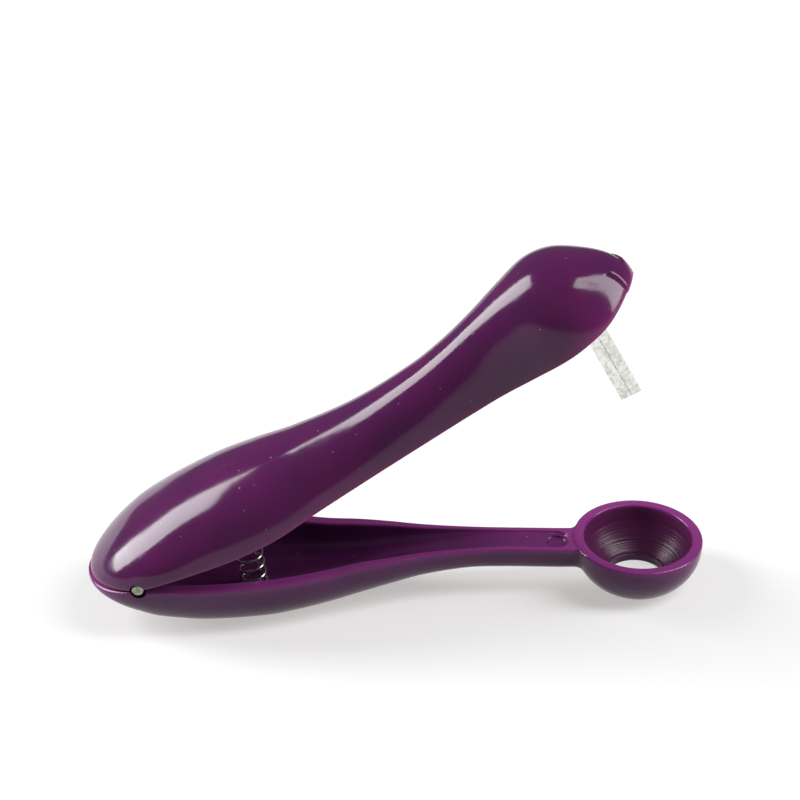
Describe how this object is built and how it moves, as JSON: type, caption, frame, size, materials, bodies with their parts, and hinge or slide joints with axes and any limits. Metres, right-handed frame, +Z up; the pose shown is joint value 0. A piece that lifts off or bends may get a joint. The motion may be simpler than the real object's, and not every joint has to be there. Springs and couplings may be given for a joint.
{
  "type": "olive pitter",
  "caption": "Hand-held olive pitter: hinged plastic handles with a return spring, an olive cup with a pit hole on the lower handle and a punch blade under the upper handle's domed head.",
  "frame": {"origin": "middle of the footprint on the table, under the part lying on its belly and on its cup", "axes": "+X from the hinged heel to the cup along the longest extent, +Y across the handles, +Z up from the table"},
  "size_m": [0.1247, 0.032, 0.0761],
  "materials": {
    "plastic": "glossy moulded purple",
    "blade_steel": "pale mottled stainless sheet",
    "wire_steel": "bright drawn steel"
  },
  "bodies": {
    "lower": {"lower_handle": "plastic", "hinge_pin": "wire_steel", "return_spring": "wire_steel"},
    "upper": {"upper_handle": "plastic", "punch": "blade_steel"}
  },
  "joints": [
    {"name": "squeeze_hinge", "type": "hinge", "parent": "lower", "child": "upper", "pos_m": [-0.05131, 0, 0.0133], "axis": [0, 1, 0], "range_deg": [0, 27], "stiffness_Nm_per_rad": 0.37, "springref_deg": -7.45, "deforming": ["return_spring"]}
  ]
}
